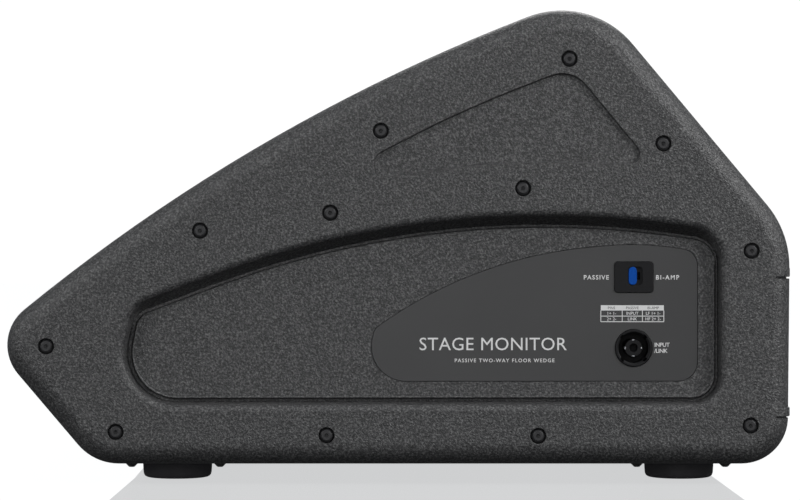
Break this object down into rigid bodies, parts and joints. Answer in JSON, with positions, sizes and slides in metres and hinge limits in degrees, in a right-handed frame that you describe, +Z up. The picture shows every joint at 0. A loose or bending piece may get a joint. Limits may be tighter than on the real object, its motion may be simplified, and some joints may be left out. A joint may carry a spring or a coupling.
{
  "type": "stage monitor wedge",
  "caption": "Passive two-way stage monitor wedge: moulded cheeks on a wooden cabinet, curved grille, recessed input panel with a selector, handle pocket and rubber feet.",
  "frame": {"origin": "on the floor, under the middle of the wedge's bounding box", "axes": "+X runs from the low nose to the tall rear, +Y points away from the cheek that carries the selector switch, +Z is up"},
  "size_m": [0.5684, 0.54, 0.3431],
  "materials": {
    "textured_black": "black with a fine raised spatter texture",
    "plate_grey": "smooth satin dark grey with white printed legends",
    "moulded_black": "fine-grained moulded black",
    "rubber_black": "matt rubber",
    "black_steel": "black powder coat",
    "screw_black": "black oxide",
    "bare_steel": "zinc plated",
    "ferrite": "raw ferrite, matt",
    "cone_paper": "pulp with a matt coating",
    "foam_black": "open-cell foam and treated cloth",
    "plywood": "birch plywood, painted black on the baffle's face",
    "copper": "enamelled copper wire",
    "circuit": "green circuit board",
    "blue_plastic": "blue, satin",
    "cable_black": "smooth black sheath"
  },
  "bodies": {
    "cabinet": {"control_cheek": "textured_black", "far_cheek": "textured_black", "nose_rail": "textured_black", "base_panel": "textured_black", "rear_panel": "textured_black", "back_panel": "textured_black", "apex_rail": "textured_black", "control_side_board": "plywood", "far_side_board": "plywood", "baffle": "plywood", "control_plate": "plate_grey", "far_plate": "plate_grey", "cheek_screw_1": "screw_black", "cheek_screw_2": "screw_black", "cheek_screw_3": "screw_black", "cheek_screw_4": "screw_black", "cheek_screw_5": "screw_black", "cheek_screw_6": "screw_black", "cheek_screw_7": "screw_black", "cheek_screw_8": "screw_black", "cheek_screw_9": "screw_black", "cheek_screw_10": "screw_black", "cheek_screw_11": "screw_black", "cheek_screw_12": "screw_black", "control_socket_shell": "moulded_black", "control_socket_core": "moulded_black", "far_socket_shell": "moulded_black", "far_socket_core": "moulded_black", "selector_switch_body": "moulded_black", "handle_cup": "moulded_black", "horn_flare": "moulded_black", "hf_driver_cap": "moulded_black", "lower_port": "moulded_black", "upper_port": "moulded_black", "crossover_tray": "moulded_black", "woofer_capacitor": "blue_plastic", "hf_capacitor": "blue_plastic", "foot_front_control_side": "rubber_black", "foot_rear_control_side": "rubber_black", "foot_front_far_side": "rubber_black", "foot_rear_far_side": "rubber_black", "woofer_surround": "rubber_black", "grille": "black_steel", "woofer_basket": "black_steel", "woofer_top_plate": "bare_steel", "woofer_yoke": "bare_steel", "woofer_magnet": "ferrite", "hf_driver_body": "ferrite", "woofer_inductor": "copper", "hf_inductor": "copper", "grille_foam": "foam_black", "woofer_spider": "foam_black", "crossover_board": "circuit", "input_lead": "cable_black", "woofer_lead": "cable_black", "hf_lead": "cable_black"},
    "selector_slider": {"selector_switch_slider": "blue_plastic"},
    "woofer_moving_parts": {"woofer_cone": "cone_paper", "woofer_dust_cap": "cone_paper", "woofer_voice_coil": "copper"}
  },
  "joints": [
    {"name": "selector_slide", "type": "slide", "parent": "cabinet", "child": "selector_slider", "axis": [1, 0, 0], "range_m": [0, 0.004]},
    {"name": "cone_travel", "type": "slide", "parent": "cabinet", "child": "woofer_moving_parts", "axis": [-0.5032, 0, 0.8641], "range_m": [-0.005, 0.005], "stiffness_N_per_m": 2500, "deforming": ["woofer_surround", "woofer_spider"]}
  ]
}
